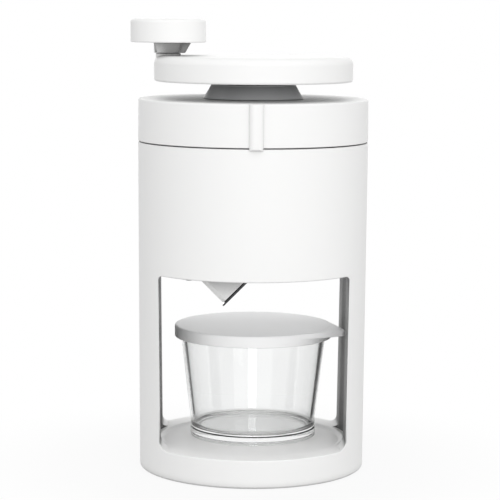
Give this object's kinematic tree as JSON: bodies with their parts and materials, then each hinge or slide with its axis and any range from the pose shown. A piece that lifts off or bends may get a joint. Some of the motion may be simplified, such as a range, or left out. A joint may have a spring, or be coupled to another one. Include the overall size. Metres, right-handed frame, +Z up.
{
  "type": "hand cranked ice shaver",
  "caption": "Round hand ice shaver: a flat crank disc with an offset knob turns a sprung gripper over a slanted blade, above an open bay that holds a lidded glass bowl.",
  "frame": {"origin": "centre of the underside of the soft pad that the shaver stands on, on the crank's axis", "axes": "+Z up along the crank's axis, -Y towards the front where the bowl is drawn out, +X to the right seen from the front"},
  "size_m": [0.1343, 0.1322, 0.2548],
  "materials": {
    "white_plastic": "satin white moulding",
    "grey_plastic": "satin grey moulding",
    "inner_plastic": "plain off-white moulding",
    "bearing_plastic": "natural bearing plastic",
    "steel": "ground stainless steel",
    "screw_steel": "plain stainless steel",
    "soft_grip": "soft grey pad",
    "clear_glass": "clear polished glass",
    "soft_lid": "smooth translucent silicone"
  },
  "bodies": {
    "body": {"body_frame": "white_plastic", "base_cover": "inner_plastic", "foot_pad": "soft_grip", "cover_screw_1": "screw_steel", "cover_screw_2": "screw_steel", "cover_screw_3": "screw_steel", "ice_chamber": "inner_plastic", "blade_holder": "white_plastic", "blade": "steel", "blade_screw_1": "screw_steel", "blade_screw_2": "screw_steel", "holder_screw_1": "screw_steel", "holder_screw_2": "screw_steel"},
    "lid": {"lid_cap": "white_plastic", "lid_inner": "inner_plastic", "lid_screw_1": "screw_steel", "lid_screw_2": "screw_steel", "lid_screw_3": "screw_steel", "bearing_neck": "grey_plastic", "neck_screw_1": "screw_steel", "neck_screw_2": "screw_steel", "neck_screw_3": "screw_steel", "bearing_bush": "bearing_plastic"},
    "crank": {"drive_shaft": "steel", "shaft_washer": "screw_steel", "shaft_nut": "screw_steel", "shaft_clip": "screw_steel", "crank_plate": "inner_plastic", "crank_disc": "white_plastic", "crank_screw_1": "screw_steel", "crank_screw_2": "screw_steel", "crank_screw_3": "screw_steel", "knob_post": "white_plastic", "knob_screw": "screw_steel", "knob_socket": "white_plastic", "knob_clip": "screw_steel", "gripper_spring": "steel"},
    "knob": {"knob_body": "white_plastic", "knob_cap": "white_plastic"},
    "gripper": {"ice_gripper": "inner_plastic"},
    "bowl": {"glass_bowl": "clear_glass"},
    "bowl_cover": {"bowl_lid": "soft_lid"}
  },
  "joints": [
    {"name": "lid_lift", "type": "slide", "parent": "body", "child": "lid", "axis": [0, 0, 1], "range_m": [0, 0.08]},
    {"name": "crank_turn", "type": "hinge", "parent": "lid", "child": "crank", "pos_m": [0, 0, 0.21], "axis": [0, 0, 1], "continuous": true},
    {"name": "knob_spin", "type": "hinge", "parent": "crank", "child": "knob", "pos_m": [-0.04805, 0, 0.2417], "axis": [0, 0, 1], "continuous": true},
    {"name": "gripper_rise", "type": "slide", "parent": "crank", "child": "gripper", "axis": [0, 0, 1], "range_m": [0, 0.028], "stiffness_N_per_m": 300, "springref_m": -0.01, "deforming": ["gripper_spring"]},
    {"name": "bowl_draw", "type": "slide", "parent": "body", "child": "bowl", "axis": [-0.1389, -0.9884, 0.061], "range_m": [0, 0.105]},
    {"name": "bowl_lid_lift", "type": "slide", "parent": "bowl", "child": "bowl_cover", "axis": [0, 0, 1], "range_m": [0, 0.011]}
  ]
}
